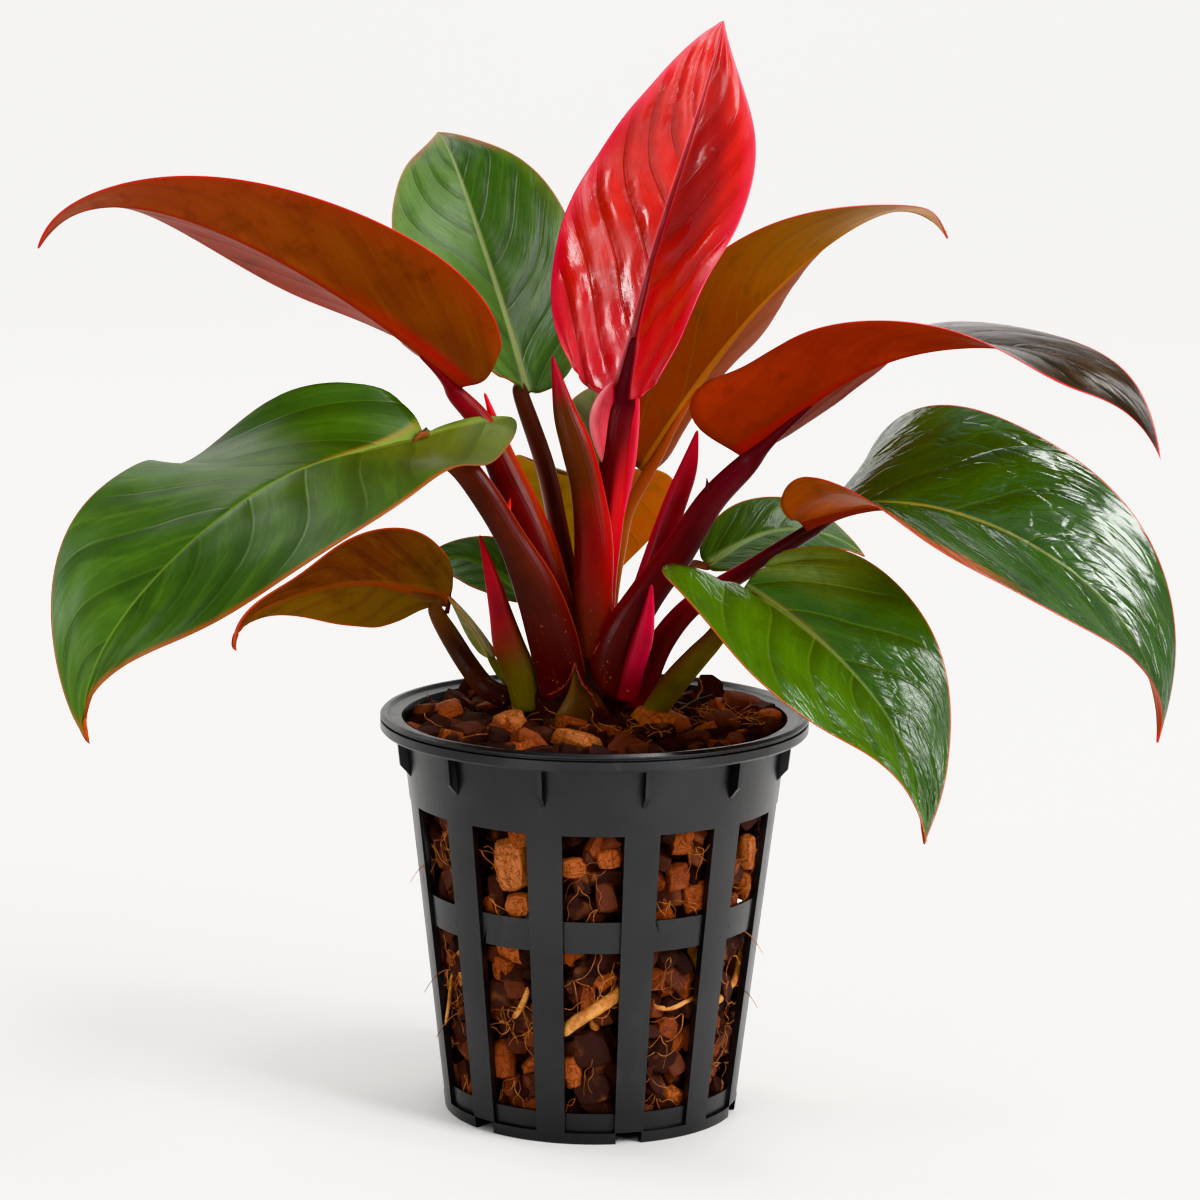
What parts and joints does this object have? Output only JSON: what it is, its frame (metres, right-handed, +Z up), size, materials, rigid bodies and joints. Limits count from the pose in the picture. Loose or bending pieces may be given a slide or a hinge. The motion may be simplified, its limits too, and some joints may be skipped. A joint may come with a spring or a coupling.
{
  "type": "potted red beauty philodendron",
  "caption": "Bushy philodendron with glossy crimson new growth and broad green older leaves, growing in bark chips in a slotted net pot.",
  "frame": {"origin": "centre of the flat hub under the pot's floor, level with the foot that it stands on", "axes": "+Z up the pot's axis, -Y toward the front of the plant, +X to the front's right"},
  "size_m": [0.3388, 0.1886, 0.33],
  "materials": {
    "pot_plastic": "satin moulded plastic, charcoal grey",
    "bark": "rough bark chips, orange brown to near black",
    "root": "matt tan root skin",
    "crown": "dull woody stem",
    "brown_stalk": "smooth waxy stalk, brown maroon",
    "maroon_stalk": "smooth waxy stalk, deep maroon",
    "crimson": "glossy fresh leaf, crimson",
    "green_leaf": "glossy waxy leaf, deep green",
    "red_brown_leaf": "satin leaf underside, red brown",
    "olive_leaf": "satin leaf underside, olive brown",
    "yellow_leaf": "satin ageing leaf, yellow"
  },
  "bodies": {
    "root": {"pot": "pot_plastic", "bark_mix": "bark", "roots": "root", "crown": "crown", "petiole_left": "brown_stalk", "petiole_right_long": "maroon_stalk", "petiole_front_right": "brown_stalk", "petiole_right": "maroon_stalk", "petiole_upper_left": "maroon_stalk", "petiole_low_left": "brown_stalk", "petiole_crimson_top": "maroon_stalk", "petiole_upper_right": "red_brown_leaf", "petiole_back": "brown_stalk", "petiole_back_right_small": "maroon_stalk", "petiole_back_left_small": "maroon_stalk", "petiole_yellowing": "olive_leaf", "petiole_olive_behind": "olive_leaf", "petiole_foot_small": "olive_leaf", "sheath_great": "maroon_stalk", "sheath_crimson_tall": "crimson", "sheath_crimson_short": "crimson", "sheath_left_foot": "crimson", "sheath_narrow_left": "crimson", "sheath_torn_foot": "crown", "blade_crimson_top": "crimson", "blade_back": "green_leaf", "blade_upper_left": "red_brown_leaf", "blade_left": "green_leaf", "blade_low_left": "red_brown_leaf", "blade_upper_right": "olive_leaf", "blade_right_long": "red_brown_leaf", "blade_right": "green_leaf", "blade_front_right": "green_leaf", "blade_back_right_small": "green_leaf", "blade_back_left_small": "green_leaf", "blade_yellowing": "yellow_leaf", "blade_olive_behind": "olive_leaf", "blade_foot_small": "green_leaf"}
  },
  "joints": []
}
